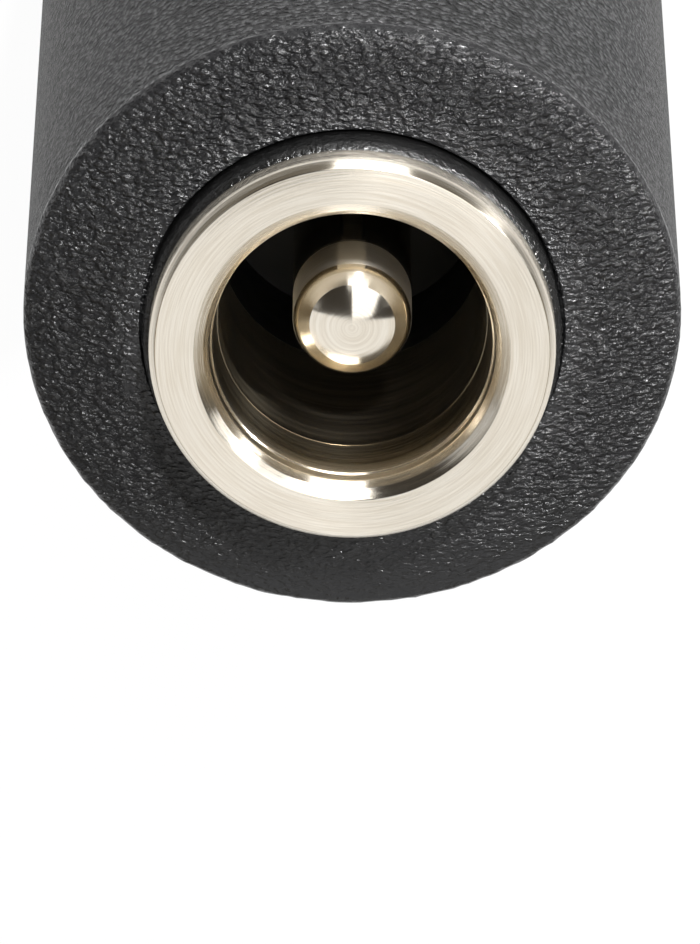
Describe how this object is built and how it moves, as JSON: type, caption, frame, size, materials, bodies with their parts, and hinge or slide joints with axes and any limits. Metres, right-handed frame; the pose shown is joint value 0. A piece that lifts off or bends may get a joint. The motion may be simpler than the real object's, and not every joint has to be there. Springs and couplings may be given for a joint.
{
  "type": "dc barrel jack",
  "caption": "Inline female low-voltage power socket: moulded black body, turned plated mouth ring on a slim collar, centre pin in a deep black socket.",
  "frame": {"origin": "centre of the flat rear end, on the socket's axis", "axes": "+Z along the socket's axis, out of its mouth; X across the wide side of the oval body"},
  "size_m": [0.0138, 0.013, 0.03],
  "materials": {
    "nickel_plated_brass": "turned, nickel plated",
    "nickel_plated_pin": "turned, nickel plated",
    "plated_spring_bronze": "rolled strip, nickel plated",
    "tinned_brass": "tinned",
    "insulator_nylon": "smooth moulded",
    "housing_nylon": "smooth moulded",
    "natural_polyethylene": "moulded, natural",
    "grained_pvc": "moulded, spark-eroded grain"
  },
  "bodies": {
    "root": {"barrel_sleeve": "nickel_plated_brass", "centre_pin": "nickel_plated_pin", "spring_contact": "plated_spring_bronze", "pin_tag": "tinned_brass", "insulator": "insulator_nylon", "collar_housing": "housing_nylon", "inner_mould": "natural_polyethylene", "outer_body": "grained_pvc"}
  },
  "joints": []
}
